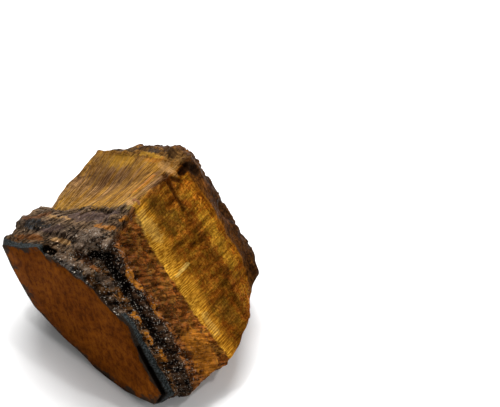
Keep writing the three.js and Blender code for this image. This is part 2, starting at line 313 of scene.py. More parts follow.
# %% [markdown]
# A mark covers the points near its middle line, and its share falls from one there to
# nothing at its reach. Distances along the surface's normal count less than distances
# along the surface, so that a mark isn't lost where the surface dips away under it.

# %% Share of a mark
NORMAL_DISCOUNT = 0.6


def share_of(mark, place, normal):
    start, end = Vector(mark.start), Vector(mark.end)
    farthest = (end - start).length + mark.reach / (1 - NORMAL_DISCOUNT)
    if (place - start).length > farthest:
        return 0.0
    foot, along = intersect_point_line(place, start, end)
    foot = start if along < 0 else end if along > 1 else foot
    offset = place - foot
    offset -= NORMAL_DISCOUNT * offset.dot(normal) * normal
    return max(1 - offset.length / mark.reach, 0.0)


print("share where a mark starts:", share_of(MARKS[0], Vector(MARKS[0].start), Vector()))

# %% [markdown]
# The break is made of a few patterns. Scoops and facets belong to the nearest of many
# scattered points: a scoop is a bowl with sharp edges around its point, and a facet is a
# plane that is tilted its own way. Folded noise, which takes the absolute value, makes
# rounded ridges with sharp valleys. Terraces cut the noise into steps. The noise is given
# a seed first, because the tilts would otherwise be new ones in each run.

# %% Patterns of the break
SEED = 1
FAR_APART = 7.7
TREADS = 3.5
noise.seed_set(SEED)


def scoops(point, size):
    distance = noise.voronoi(point / size)[0][0]
    return distance * distance - 0.25


def facets(point, size):
    middle = noise.voronoi(point / size)[1][0]
    tilt = noise.noise_vector(middle * FAR_APART)
    return size * ((point / size - middle).dot(tilt) + 0.25 * tilt.x)


def thread_noise(fibre, width, length):
    return noise.noise(Vector((fibre.x / width, fibre.y / length, fibre.z / width)))


def folded(fibre, width, length):
    return abs(thread_noise(fibre, width, length))


def terraces(fibre, width, length):
    level = TREADS * thread_noise(fibre, width, length)
    whole = math.floor(level)
    return (whole + smooth_step(0.55, 1.0, level - whole)) / TREADS


print("a scoop and a facet:", scoops(Vector((1, 2, 3)), 1.5), facets(Vector((1, 2, 3)), 1.5))

# %% [markdown]
# Each kind of break is a sum of these patterns. The number in front of a pattern weighs
# it, and the numbers inside are its sizes in millimetres. Ironstone breaks into hackle:
# flat facets, smaller scoops, and terraces, because the grains let go at different
# lengths. On the roof the hackle is drawn out into ribs. Silk shows bundles of fibre, and
# past the first gold on the cheek the bundles are chipped.

# %% Hackle and silk
CHIPPED_SILK = (17.5, 20.0)


def drawn_out(fibre, stretch):
    return Vector((fibre.x, fibre.y / stretch, fibre.z))


def hackle(place, fibre):
    grain = noise.fractal(place / 0.8, 0.7, 2.0, 3)
    drawn = drawn_out(fibre, 1.7)
    rough = 0.35 * facets(place, 2.4) + 0.3 * facets(drawn, 1.1) + 0.15 * scoops(drawn, 1.0)
    return rough + 0.08 * grain + 0.3 * terraces(fibre, 1.0, 3.0)


def drawn_hackle(fibre):
    ribs = 0.6 * folded(fibre, 0.6, 9.0) + 1.0 * folded(fibre, 1.2, 14.0)
    planes = 0.3 * facets(drawn_out(fibre, 4.0), 2.0)
    return planes + 0.9 * ribs + 0.3 * terraces(fibre, 1.4, 9.0) - 0.25


def silk(place, fibre, roof):
    bundles = 0.14 * folded(fibre, 1.0, 14.0) + 0.1 * folded(fibre, 0.45, 9.0)
    chipped = (1 - roof) * smooth_step(*CHIPPED_SILK, place.y)
    chips = 0.3 * scoops(drawn_out(fibre, 1.8), 1.5)
    return bundles - 0.05 + chipped * (chips + 0.25 * terraces(fibre, 1.3, 3.5))


print("silk at one place:", silk(Vector((5, 18, 30)), Vector((1, 18, 0)), 0.0))

# %% [markdown]
# Ironstone lies in front of the silk and behind it, so its share follows from the depth.
# The slate rim beside the sawn face has a gap around the ridge. The rim, the crust on top
# and the far left broke more evenly than the rest, so their relief is calmed.

# %% Ironstone and calm places
SEAM_BLUR = 0.25
CRUST_BLUR = (0.6, 0.4)
RIM_GAP_X = 1
RIM_GAP_HALF = (9, 11)
TOP_CRUST = (29, 31, 34.5, 36)
FAR_LEFT_X = (-24, -16)
RIM_CALM = 0.85
CRUST_CALM = 0.8
ROOF_CRUST_EASE = 0.3
FAR_LEFT_RELIEF = 0.35


def ironstone_share(depth):
    front = 1 - smooth_step(GOLD_START - SEAM_BLUR, GOLD_START + SEAM_BLUR, depth)
    crust = smooth_step(CRUST_START - CRUST_BLUR[0], CRUST_START + CRUST_BLUR[1], depth)
    return max(front, crust)


def rim_share(place, roof):
    end = RIM_END + (ROOF_RIM_END - RIM_END) * roof
    beside_gap = smooth_step(*RIM_GAP_HALF, abs(place.x - RIM_GAP_X))
    return (1 - smooth_step(end - 0.1, end + 0.3, place.y)) * beside_gap


def calm_share(place, roof):
    start, full, fading, end = TOP_CRUST
    top_crust = smooth_step(start, full, place.y) * (1 - smooth_step(fading, end, place.y))
    crust_calm = CRUST_CALM - ROOF_CRUST_EASE * roof
    calm = (1 - RIM_CALM * rim_share(place, roof)) * (1 - crust_calm * top_crust)
    inside = smooth_step(*FAR_LEFT_X, place.x)
    return calm * (FAR_LEFT_RELIEF + (1 - FAR_LEFT_RELIEF) * inside)


print("ironstone at the front, in the gold and behind:", *map(ironstone_share, (5, 20, 35)))

# %% [markdown]
# The relief at a place is the hackle or the silk that belongs there. The seam between the
# two wanders a little, and on the roof it runs out in spikes along the fibres. The ridge
# is worn and chipped. From the start of the plain crust on, the grain no longer follows
# the fibres.

# %% Relief
PLAIN_CRUST = 32
RIDGE_REACH = 1.6
RIDGE_WEAR = 0.15


def ridge_chips(place):
    on_ridge = 1 - smooth_step(0, RIDGE_REACH, abs(place.x - ridge_x(place.y)))
    return on_ridge * (RIDGE_WEAR + 0.9 * max(noise.noise(place / 1.7), 0))


def relief(place, roof):
    fibre = fibre_place(place, roof)
    wander = 0.5 * noise.noise(place / 2.2) + 0.25 * noise.noise(place / 0.7)
    spikes = roof * 1.6 * (folded(fibre, 0.7, 4.0) - 0.2)
    depth = place.y + wander + spikes
    iron = ironstone_share(depth)
    before_crust = 1 - smooth_step(TOP_CRUST[0], TOP_CRUST[1], depth)
    drawn = roof * before_crust * (1 - 0.7 * smooth_step(*KNOB_X, place.x))
    fibre = fibre if depth < PLAIN_CRUST else place
    rough = drawn * drawn_hackle(fibre) + (1 - drawn) * hackle(place, fibre)
    silky = silk(place, fibre, roof) - ridge_chips(place)
    return iron * calm_share(place, roof) * rough + (1 - iron) * silky


print("relief at one place of the roof:", relief(Vector((-10, 25, 30)), 1.0))

# %% [markdown]
# The break is laid on as small moves along each corner's normal. A mark adds its own
# height and calms the relief under it. All moves fade out towards the sawn face and the
# base, so that both keep their outlines.

# %% Move the corners
MARK_EDGE = 0.7
CALM_EDGE = 0.6
UNDER_MARK = 0.25
MARK_FADE = 0.3
SAWN_FADE = 0.7
BASE_FADE = 0.8

moves, nearest = {}, {}
for vert in broken:
    place = place_of(vert)
    near = [(share_of(mark, place, vert.normal), mark) for mark in MARKS]
    nearest[vert.index] = max(near, key=lambda pair: pair[0])
    marked = sum(mark.height * smooth_step(0, MARK_EDGE, share) for share, mark in near)
    marked = marked * smooth_step(0, MARK_FADE, place.y)
    calmed = 1 - UNDER_MARK * smooth_step(0, CALM_EDGE, nearest[vert.index][0])
    rough = relief(place, roof_share(place)) * calmed * smooth_step(0, SAWN_FADE, place.y)
    moves[vert.index] = (rough + marked) * smooth_step(0, BASE_FADE, place.z)
for vert in broken:
    vert.co += vert.normal * moves[vert.index] * MM
fine.normal_update()
print("deepest and highest move, in mm:", min(moves.values()), max(moves.values()))

# %% [markdown]
# The sawn face has a thin dark rind along its border, where the saw cut through the
# stone's old skin. The border is the ring of sawn corners that share a face with a corner
# that isn't sawn. A tree of these corners quickly finds the one nearest to a point, and
# the distance to it gives the rind's share.

# %% Rind of the sawn face
RIND_WIDTH = 1.4


def on_border(vert):
    around = (other for face in vert.link_faces for other in face.verts)
    return is_sawn(vert) and any(not is_sawn(other) for other in around)


border = [vert for vert in fine.verts if on_border(vert)]
border_tree = KDTree(len(border))
for index, vert in enumerate(border):
    border_tree.insert(vert.co, index)
border_tree.balance()


def rind_share(vert):
    if not is_sawn(vert):
        return 0.0
    return 1 - smooth_step(0, RIND_WIDTH, border_tree.find(vert.co)[2] / MM)


print("corners on the border of the sawn face:", len(border))

# %% [markdown]
# The colours need to know the same things as the shape did, so each corner keeps notes:
# the share of roof, its fibre place, how far the relief moved it, the shares of rim and
# rind, and the colour and share of the mark that lies over it. That colour is a stain for
# most marks and painted shade for a few. The notes are written as attributes of the mesh,
# which a material reads with an Attribute node.

# %% Notes on the corners
HOLLOW_MIDDLE = 0.5

stone_mesh = bpy.data.meshes.new("rough_stone")
layers = fine.verts.layers
notes = {name: layers.float.new(name) for name in ("roof", "hollow", "rim", "rind", "mark")}
fibre_layer = layers.float_vector.new("fibre")
stain_and_shade_layer = layers.float_color.new("stain")
for vert in fine.verts:
    place = place_of(vert)
    roof = roof_share(place)
    share, mark = nearest.get(vert.index, (0.0, MARKS[0]))
    vert[notes["roof"]] = roof
    vert[notes["hollow"]] = HOLLOW_MIDDLE - moves.get(vert.index, 0.0)
    vert[notes["rim"]] = rim_share(place, roof)
    vert[notes["rind"]] = rind_share(vert)
    vert[notes["mark"]] = share
    vert[fibre_layer] = fibre_place(place, roof)
    vert[stain_and_shade_layer] = (*mark.stain, mark.strength)
for face in fine.faces:
    face.smooth = True
fine.to_mesh(stone_mesh)
fine.free()
print("attributes:", [layer.name for layer in stone_mesh.attributes])

# %% [markdown]
# The finished mesh becomes one object at the origin. It replaces the plain solid and moves
# with the body called root.

# %% Put the stone in place
stone = bpy.data.objects.new("rough_stone", stone_mesh)
bpy.context.scene.collection.objects.link(stone)
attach(stone, "root")
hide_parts(STONE)
print("piece:", stone.name, "with", len(stone_mesh.polygons), "faces")

# %% [markdown]
# A material is a tree of nodes. A few short helpers keep it readable: one adds a node and
# sets or links its inputs, and the others wrap the nodes for arithmetic. They work on the
# tree that is being built, which each later cell calls tree. Step up gives 0 below its
# first limit and 1 past its second, with a soft slope between the two, and limits in
# falling order turn the slope round.

# %% Node helpers
def add_node(kind, inputs=None, **settings):
    node = tree.nodes.new(kind)
    for name, value in settings.items():
        setattr(node, name, value)
    for key, value in (inputs or {}).items():
        if isinstance(value, bpy.types.NodeSocket):
            tree.links.new(value, node.inputs[key])
        else:
            node.inputs[key].default_value = value
    return node


def calculate(operation, first, second=0.0, clamp=False):
    inputs = {0: first, 1: second}
    node = add_node("ShaderNodeMath", inputs, operation=operation, use_clamp=clamp)
    return node.outputs[0]


def times(first, second):
    return calculate("MULTIPLY", first, second)


def opposite(mask):
    return calculate("SUBTRACT", 1.0, mask)


def step_up(value, start, end):
    inputs = {"Value": value, "From Min": start, "From Max": end}
    node = add_node("ShaderNodeMapRange", inputs, interpolation_type="SMOOTHSTEP")
    return node.outputs["Result"]


def mix_values(share, first, second):
    inputs = {0: share, 2: first, 3: second}
    return add_node("ShaderNodeMix", inputs, data_type="FLOAT").outputs[0]


print("node helpers are ready in Blender", bpy.app.version_string)

# %% [markdown]
# Stone is uneven at every size, and so is a noise texture: its detail adds ever smaller
# patches, and its roughness says how strong they are. Plain noise lies any way. For drawn
# noise the place is squeezed along the fibres first, which draws each patch out into a
# streak.

# %% Noise helpers
def vector_maths(operation, first, second, output=0):
    inputs = {0: first, 1: second}
    node = add_node("ShaderNodeVectorMath", inputs, operation=operation)
    return node.outputs[output]


def plain_noise(source, scale, detail, roughness):
    inputs = {"Vector": source, "Scale": scale, "Detail": detail, "Roughness": roughness}
    return add_node("ShaderNodeTexNoise", inputs).outputs["Fac"]


def drawn_noise(source, scale, stretch, detail, roughness=0.6):
    squeezed = vector_maths("MULTIPLY", source, (1.0, 1.0 / stretch, 1.0))
    return plain_noise(squeezed, scale, detail, roughness)


print("noise helpers are ready")

# %% [markdown]
# The silk of tiger's eye is thousands of straight threads. A node group packs such an
# effect into one node with named inputs and outputs. This one draws noise out along the
# depth of the fibre place: hair-fine threads, strands that bundle them, and short dark
# strokes where a thread broke away. In places the threads lie as even as combed hair,
# which a sine wave across them shows better than noise does. The group puts out the lines,
# for colour and height alike, and the strokes.

# %% Fibre lines
VECTOR = "NodeSocketVector"
FLOAT = "NodeSocketFloat"


def new_group(name, inputs, outputs):
    group = bpy.data.node_groups.new(name, "ShaderNodeTree")
    for socket, kind, value in inputs:
        made = group.interface.new_socket(socket, in_out="INPUT", socket_type=kind)
        if value is not None:
            made.default_value = value
    for socket in outputs:
        group.interface.new_socket(socket, in_out="OUTPUT", socket_type=FLOAT)
    entry = group.nodes.new("NodeGroupInput")
    leave = group.nodes.new("NodeGroupOutput")
    return group, entry.outputs, leave.inputs


fibre_group, entry, leave = new_group(
    "fibre lines",
    [
        ("Fibre", VECTOR, None), ("Threads", FLOAT, 4.0), ("Strands", FLOAT, 1.8),
        ("Comb Width", FLOAT, 0.5), ("Comb Share", FLOAT, 0.8),
    ],
    ["Lines", "Strokes"],
)
tree, fibre = fibre_group, entry["Fibre"]
threads = drawn_noise(fibre, scale=entry["Threads"], stretch=50, detail=1)
strands = drawn_noise(fibre, scale=entry["Strands"], stretch=24, detail=2)
lines = step_up(mix_values(0.35, threads, strands), 0.41, 0.59)

across = add_node("ShaderNodeSeparateXYZ", {0: fibre}).outputs["X"]
turns = calculate("DIVIDE", across, entry["Comb Width"])
slip = drawn_noise(fibre, scale=0.5, stretch=5, detail=2)
turns = calculate("ADD", turns, times(slip, 3.0))
wave = calculate("SINE", times(turns, math.tau))
even_lines = step_up(wave, -0.3, 0.9)
combed = drawn_noise(fibre, scale=0.5, stretch=1.6, detail=2)
combed = times(step_up(combed, 0.44, 0.56), entry["Comb Share"])
lines = mix_values(combed, lines, even_lines)
broken_threads = drawn_noise(fibre, scale=2.6, stretch=4, detail=2)
tree.links.new(lines, leave["Lines"])
tree.links.new(step_up(broken_threads, 0.6, 0.68), leave["Strokes"])
print("group:", tree.name, "with", len(tree.nodes), "nodes")

# %% [markdown]
# Ironstone breaks into dull grains with tiny mirrors between them. A Voronoi texture gives
# each point the middle of its grain and a random colour. Taken as a tilt, that colour
# makes every grain a small plane of its own, and taken as a tone, it makes some grains
# darker.

# %% Grain helpers
def grains(source, scale):
    return add_node("ShaderNodeTexVoronoi", {"Vector": source, "Scale": scale}).outputs


def tone_of(cells):
    return add_node("ShaderNodeSeparateXYZ", {0: cells["Color"]}).outputs["X"]


def plane_of(cells, source):
    tilt = vector_maths("SUBTRACT", cells["Color"], (0.5, 0.5, 0.5))
    offset = vector_maths("SUBTRACT", source, cells["Position"])
    return vector_maths("DOT_PRODUCT", offset, tilt, "Value")


print("grain helpers are ready")

# %% [markdown]
# The iron grain is a node group too. A little noise bends its rows of grains. Patches
# follow the fibres, blocks are larger and lie any way, pits are holes, which the material
# later paints dark as shade in them, specks are round dots, and gloss gives every small
# grain its own shine.

# %% Iron grain
BLOCK_SCALE = 1.1
LARGE_GRAIN = 1.6
SMALL_GRAIN = 4.0
SPARK_SCALE = 5.5
SPECK_SCALE = 1.5

grain_group, entry, leave = new_group(
    "iron grain",
    [("Place", VECTOR, None), ("Fibre", VECTOR, None)],
    ["Patch", "Blocks", "Pits", "Specks", "Gloss", "Height"],
)
tree, place, fibre = grain_group, entry["Place"], entry["Fibre"]
bend = add_node("ShaderNodeTexNoise", {"Vector": place, "Scale": 1.5})
bend = vector_maths("MULTIPLY", bend.outputs["Color"], (0.4, 0.4, 0.4))
drawn = vector_maths("MULTIPLY", fibre, (1.0, 0.3, 1.0))
drawn = vector_maths("ADD", drawn, bend)
large = grains(drawn, LARGE_GRAIN)
small = grains(drawn, SMALL_GRAIN)
tones = mix_values(0.5, tone_of(large), tone_of(small))
patch = drawn_noise(fibre, scale=1.3, stretch=4, detail=5, roughness=0.72)
tones = mix_values(0.6, tones, step_up(patch, 0.4, 0.62))
deep = drawn_noise(fibre, scale=1.8, stretch=3, detail=4, roughness=0.65)
pits = step_up(deep, 0.59, 0.66)
grit = plain_noise(place, scale=4.0, detail=3, roughness=0.65)
blocks = grains(vector_maths("ADD", place, bend), BLOCK_SCALE)
dots = grains(place, SPECK_SCALE)

small_height = times(plane_of(small, drawn), 0.8)
height = calculate("ADD", plane_of(large, drawn), small_height)
height = calculate("ADD", height, times(grit, 0.06))
height = calculate("SUBTRACT", height, times(pits, 0.15))
results = {
    "Patch": step_up(tones, 0.15, 0.85),
    "Blocks": mix_values(0.35, tone_of(blocks), grit),
    "Pits": pits,
    "Specks": step_up(dots["Distance"], 0.26, 0.14),
    "Gloss": tone_of(grains(place, SPARK_SCALE)),
    "Height": height,
}
for name, result in results.items():
    tree.links.new(result, leave[name])
print("group:", tree.name, "with", len(tree.nodes), "nodes")

# %% [markdown]
# The bands are colour ramps over depth, because a ramp shows the whole stack at once. Each
# line below is a depth with the darkest and the lightest colour of the stone there, and
# the fibre lines or the iron grain choose between the two. Two lines close together make
# a sharp seam, and two far apart make one colour melt into the next, as the first gold
# does into the brown.

# %% Bands
SEAM = 0.2
ROOF_SEAM = 0.15
CHEEK = [
    (0.0, (0.006, 0.004, 0.003), (0.09, 0.06, 0.04)),
    (RIM_END - SEAM, (0.006, 0.004, 0.003), (0.1, 0.065, 0.042)),
    (RIM_END + SEAM, (0.008, 0.004, 0.002), (0.1, 0.045, 0.014)),
    (BLACK_START - SEAM, (0.008, 0.004, 0.002), (0.1, 0.042, 0.012)),
    (BLACK_START + SEAM, (0.002, 0.001, 0.001), (0.045, 0.023, 0.012)),
    (BLACK_END - SEAM, (0.002, 0.001, 0.001), (0.05, 0.026, 0.013)),
    (BLACK_END + SEAM, (0.025, 0.008, 0.002), (0.2, 0.07, 0.017)),
    (12.0, (0.04, 0.013, 0.002), (0.225, 0.082, 0.018)),
    (GOLD_START - SEAM, (0.06, 0.018, 0.002), (0.3, 0.11, 0.02)),
    (GOLD_START + SEAM, (0.2, 0.076, 0.003), (0.73, 0.395, 0.045)),
    (18.2, (0.17, 0.06, 0.002), (0.62, 0.31, 0.03)),
    (GOLD_END, (0.155, 0.055, 0.004), (0.37, 0.155, 0.017)),
    (SECOND_GOLD - 0.5, (0.145, 0.052, 0.004), (0.38, 0.16, 0.019)),
    (SECOND_GOLD, (0.06, 0.019, 0.001), (0.24, 0.087, 0.012)),
    (SECOND_GOLD + 0.6, (0.13, 0.042, 0.004), (0.34, 0.14, 0.019)),
    (28.0, (0.18, 0.058, 0.004), (0.51, 0.22, 0.022)),
    (CRUST_START - 1.0, (0.15, 0.046, 0.003), (0.5, 0.205, 0.018)),
    (CRUST_START - 0.2, (0.1, 0.03, 0.001), (0.34, 0.125, 0.01)),
    (CRUST_START + 0.3, (0.012, 0.004, 0.001), (0.12, 0.042, 0.006)),
    (35.5, (0.016, 0.007, 0.003), (0.1, 0.042, 0.014)),
    (LAST_DEPTH, (0.016, 0.007, 0.003), (0.09, 0.038, 0.014)),
]
ROOF = [
    (0.0, (0.008, 0.007, 0.006), (0.06, 0.05, 0.042)),
    (ROOF_RIM_END - ROOF_SEAM, (0.008, 0.007, 0.006), (0.06, 0.05, 0.042)),
    (ROOF_RIM_END + ROOF_SEAM, (0.008, 0.005, 0.003), (0.1, 0.055, 0.025)),
    (4.5, (0.008, 0.005, 0.003), (0.125, 0.08, 0.048)),
    (7.0, (0.007, 0.005, 0.004), (0.1, 0.07, 0.05)),
    (9.0, (0.01, 0.006, 0.004), (0.16, 0.1, 0.056)),
    (12.5, (0.008, 0.005, 0.003), (0.13, 0.08, 0.046)),
    (GOLD_START - ROOF_SEAM, (0.01, 0.006, 0.003), (0.14, 0.085, 0.045)),
    (GOLD_START + ROOF_SEAM, (0.07, 0.033, 0.005), (0.38, 0.22, 0.05)),
    (19.0, (0.06, 0.028, 0.006), (0.39, 0.22, 0.055)),
    (23.0, (0.045, 0.021, 0.007), (0.34, 0.192, 0.063)),
    (27.0, (0.045, 0.021, 0.007), (0.27, 0.147, 0.05)),
    (CRUST_START - 1.5, (0.08, 0.038, 0.007), (0.35, 0.195, 0.045)),
    (CRUST_START, (0.07, 0.026, 0.004), (0.24, 0.12, 0.028)),
    (CRUST_START + 0.8, (0.018, 0.007, 0.002), (0.23, 0.118, 0.03)),
    (CRUST_START + 2.5, (0.016, 0.006, 0.002), (0.22, 0.115, 0.035)),
    (35.5, (0.016, 0.007, 0.003), (0.11, 0.048, 0.016)),
    (LAST_DEPTH, (0.016, 0.007, 0.003), (0.09, 0.038, 0.014)),
]
print("lines of colour on the cheek:", len(CHEEK), "and on the roof:", len(ROOF))

# %% [markdown]
# The material begins with where a point is. Object coordinates, turned to millimetres
# behind the sawn face, give the place, and Attribute nodes read the notes.

# %% Place and notes
material = bpy.data.materials.new("tigers_eye")
material.use_nodes = True
tree = material.node_tree
tree.nodes.clear()

coordinates = add_node("ShaderNodeTexCoord").outputs["Object"]
place = add_node(
    "ShaderNodeMapping",
    {"Vector": coordinates, "Location": (0, -SAWN_Y / MM, 0), "Scale": (1 / MM, 1 / MM, 1 / MM)},
).outputs[0]
lengths = add_node("ShaderNodeSeparateXYZ", {0: place}).outputs
true_depth = lengths["Y"]


def note(name, output="Fac"):
    return add_node("ShaderNodeAttribute", attribute_name=name).outputs[output]


roof = note("roof")
cheek = opposite(roof)
hollow = note("hollow")
fibre = note("fibre", "Vector")
mark = note("mark")


def count_nodes():
    print("nodes so far:", len(tree.nodes))


count_nodes()

# %% [markdown]
# A seam in stone is never a ruled line. Noise moves the depth that the ramps read, most of
# all at the front. On the roof the dark and the gold reach into each other in spikes along
# the fibres, half of their length to each side of the seam. Low down, the bands before and
# behind the ochre one lie nearer to the sawn face.

# %% Ragged seams
FRONT_RAGGED = 2.6
BACK_RAGGED = 1.7
RAGGED_CHANGE = (14, 18)
SPIKE_LENGTH = 5.0
OCHRE_MIDDLE = 12.5
OCHRE_HALF = (3.5, 5.0)
LOW_DOWN_Z = (17, 9)
LOW_LEAD = 1.3


def shifted(value, source, amount):
    centred = calculate("SUBTRACT", source, 0.5)
    return calculate("ADD", value, times(centred, amount))


further_back = step_up(true_depth, *RAGGED_CHANGE)
ragged = mix_values(further_back, FRONT_RAGGED, BACK_RAGGED)
seam_noise = plain_noise(place, scale=0.5, detail=6, roughness=0.78)
depth = shifted(true_depth, seam_noise, ragged)
spikes = times(drawn_noise(fibre, scale=1.6, stretch=6, detail=2), roof)
depth = calculate("ADD", depth, times(spikes, SPIKE_LENGTH))
depth = calculate("SUBTRACT", depth, times(roof, SPIKE_LENGTH / 2))

from_ochre = calculate("ABSOLUTE", calculate("SUBTRACT", depth, OCHRE_MIDDLE))
low_down = step_up(lengths["Z"], *LOW_DOWN_Z)
narrowing = times(low_down, step_up(from_ochre, *OCHRE_HALF))
depth = calculate("ADD", depth, times(narrowing, LOW_LEAD))
count_nodes()

# %% [markdown]
# Masks say which stone a point belongs to, from 0 for not at all to 1 for wholly. They are
# worked out once, here, and every later step mixes by them. Each pair below holds the
# depths between which a mask changes: it grows with the depth in the pairs called in, and
# fades in the pairs called out.

# %% Masks
SILK_IN = (GOLD_START - SEAM, GOLD_START + SEAM)
SILK_OUT = (CRUST_START + 0.6, CRUST_START - 0.8)
CHIPPED_IN = (18.8, GOLD_END)
CRUST_IN = (CRUST_START - 2.5, CRUST_START)
BEHIND_IN = (31.5, 33)
BLOCKY_OUT = (10, 8)
NEAR_SAW_OUT = (1.2, 0.6)
SAWN_OUT = (0.04, 0.01)

silky = times(step_up(depth, *SILK_IN), step_up(depth, *SILK_OUT))
chipped = times(times(step_up(depth, *CHIPPED_IN), silky), cheek)
crust = step_up(depth, *CRUST_IN)
behind = step_up(depth, *BEHIND_IN)
left_of_knob = times(roof, step_up(lengths["X"], KNOB_X[1], KNOB_X[0]))
blocky = times(step_up(depth, *BLOCKY_OUT), opposite(left_of_knob))
ochre = calculate("SUBTRACT", 1.0, calculate("ADD", silky, blocky), clamp=True)
ochre = times(times(ochre, cheek), step_up(depth, CRUST_START, GOLD_START))
# near_saw is the strip of cheek beside the sawn face, where the crevice gets painted shade.
near_saw = times(step_up(true_depth, *NEAR_SAW_OUT), cheek)
sawn = step_up(true_depth, *SAWN_OUT)
count_nodes()

# %% [markdown]
# Now the patterns that choose between the darkest and the lightest colour of a band. Silk
# shows its fibre lines, crossed by growth lines that lie parallel to the seams: noise that
# is drawn out along the bands. Chipped silk is crumbled. The front ironstone is blocky,
# the ochre band behind it follows its fibres, and the crust at the back crumbles again.

# %% Pattern of the break
inputs = {"Fibre": fibre, "Comb Share": mix_values(chipped, 0.85, 0.15)}
silk_threads = add_node("ShaderNodeGroup", inputs, node_tree=fibre_group).outputs
fibre_lines = silk_threads["Lines"]


def iron_grain(fibre):
    inputs = {"Place": place, "Fibre": fibre}
    return add_node("ShaderNodeGroup", inputs, node_tree=grain_group).outputs


front_grain = iron_grain(fibre)
crust_grain = iron_grain(place)

along_bands = vector_maths("MULTIPLY", place, (0.14, 1.0, 0.14))
bend = times(plain_noise(place, scale=0.5, detail=3, roughness=0.6), 2.5)
along_bands = vector_maths("ADD", along_bands, bend)
growth = plain_noise(along_bands, scale=1.8, detail=3, roughness=0.6)
fine_growth = plain_noise(along_bands, scale=3.2, detail=3, roughness=0.6)
fine_growth = step_up(fine_growth, 0.42, 0.6)
crumbs = plain_noise(place, scale=2.4, detail=4, roughness=0.8)

silk_pattern = mix_values(0.25, fibre_lines, step_up(growth, 0.35, 0.62))
crumbled = mix_values(0.33, step_up(crumbs, 0.36, 0.64), fine_growth)
crumbled = step_up(mix_values(0.3, crumbled, fibre_lines), 0.2, 0.8)
silk_pattern = mix_values(chipped, silk_pattern, crumbled)

iron_patch = mix_values(behind, front_grain["Patch"], crust_grain["Patch"])
iron_blocks = mix_values(0.5, front_grain["Patch"], front_grain["Blocks"])
iron_pattern = mix_values(blocky, iron_patch, step_up(iron_blocks, 0.3, 0.62))
crumbly = mix_values(0.5, iron_pattern, step_up(crumbs, 0.4, 0.6))
iron_pattern = mix_values(behind, iron_pattern, crumbly)

pattern = mix_values(silky, iron_pattern, silk_pattern)
banded = times(times(crust, step_up(true_depth, 36, 34)), 0.55)
pattern = mix_values(banded, pattern, fine_growth)
count_nodes()

# %% [markdown]
# Each broken face has two colour ramps that read the ragged depth, one for the dark and
# one for the light colours, and the pattern mixes the two. A tint is a mix that multiplies
# a colour by a tone.

# %% Colours of the bands
DARK, LIGHT = 1, 2


def with_alpha(colour):
    return colour if isinstance(colour, bpy.types.NodeSocket) else (*colour, 1)


def mix_colours(share, first, second, blend_type="MIX"):
    inputs = {0: share, 6: with_alpha(first), 7: with_alpha(second)}
    node = add_node("ShaderNodeMix", inputs, data_type="RGBA", blend_type=blend_type)
    return node.outputs[2]


def tint(share, colour, tone):
    return mix_colours(share, colour, tone, "MULTIPLY")


ramp_share = calculate("DIVIDE", depth, LAST_DEPTH)


def band_ramp(bands, shade):
    ramp = add_node("ShaderNodeValToRGB", {"Fac": ramp_share})
    stops = ramp.color_ramp.elements
    stops[0].color = with_alpha(bands[0][shade])
    stops[1].position = 1.0
    stops[1].color = with_alpha(bands[-1][shade])
    for band in bands[1:-1]:
        stops.new(band[0] / LAST_DEPTH).color = with_alpha(band[shade])
    return ramp.outputs["Color"]


def band_colour(bands):
    return mix_colours(pattern, band_ramp(bands, DARK), band_ramp(bands, LIGHT))


colour = mix_colours(roof, band_colour(CHEEK), band_colour(ROOF))
count_nodes()

# %% [markdown]
# The crust at the back has weathered longest. Large soft patches of it are greyer or
# fresher, and soot-dark patches lie over both.

# %% Weather on the crust
OLD_CRUST = (0.7, 0.68, 0.7)
YOUNG_CRUST = (1.65, 1.5, 1.2)
SOOTY_CRUST = (0.2, 0.15, 0.15)

weather = plain_noise(place, scale=0.16, detail=7, roughness=0.68)
weather = mix_colours(step_up(weather, 0.4, 0.6), OLD_CRUST, YOUNG_CRUST)
sooted = plain_noise(place, scale=0.42, detail=6, roughness=0.75)
sooted = times(step_up(sooted, 0.48, 0.58), 0.7)
colour = tint(behind, colour, mix_colours(sooted, weather, SOOTY_CRUST))
count_nodes()

# %% [markdown]
# Beside the sawn face the broken sides have a thin slate-grey rim. Its note is blurred by
# a crackle, so that the rim ends in crumbs.

# %% Slate rim
SLATE_DARK = (0.004, 0.005, 0.004)
SLATE_LIGHT = (0.046, 0.053, 0.055)

crackle = plain_noise(place, scale=3.0, detail=4, roughness=0.7)
rim = step_up(shifted(note("rim"), crackle, 1.0), 0.3, 0.7)
rim_colour = mix_colours(step_up(crackle, 0.4, 0.66), SLATE_DARK, SLATE_LIGHT)
colour = mix_colours(rim, colour, rim_colour)
count_nodes()

# %% [markdown]
# No band has one hue. The silk drifts between brown and yellow, the roof has paler and
# more golden streaks along its fibres, and the chipped silk and the ochre band lean to red
# in places and to green in others. Each is a multiplied tint, which keeps the pattern.

# %% Drift, streaks and hue
BROWNER = (0.72, 0.64, 0.55)
YELLOWER = (1.14, 1.12, 1.05)
PALER = (0.86, 0.86, 1.15)
GOLDEN = (1.12, 1.04, 0.7)
REDDER = (1.12, 0.89, 0.85)
GREENER = (0.92, 1.06, 0.92)

drift = drawn_noise(fibre, scale=0.4, stretch=1.8, detail=7, roughness=0.75)
drift = mix_colours(step_up(drift, 0.4, 0.6), BROWNER, YELLOWER)
colour = tint(silky, colour, drift)
streaks = drawn_noise(fibre, scale=0.9, stretch=14, detail=3)
streaks = mix_colours(step_up(streaks, 0.42, 0.58), PALER, GOLDEN)
colour = tint(times(silky, roof), colour, streaks)
hue = plain_noise(place, scale=0.7, detail=6, roughness=0.75)
hue = mix_colours(step_up(hue, 0.4, 0.6), REDDER, GREENER)
colour = tint(calculate("ADD", chipped, ochre, clamp=True), colour, hue)
count_nodes()

# %% [markdown]
# The stains of the marks, and the painted shade of a few of them, come over the bands.
# The blocks of the iron grain eat into their edges, so that no mark ends in a smooth line,
# and the pattern shows through them.

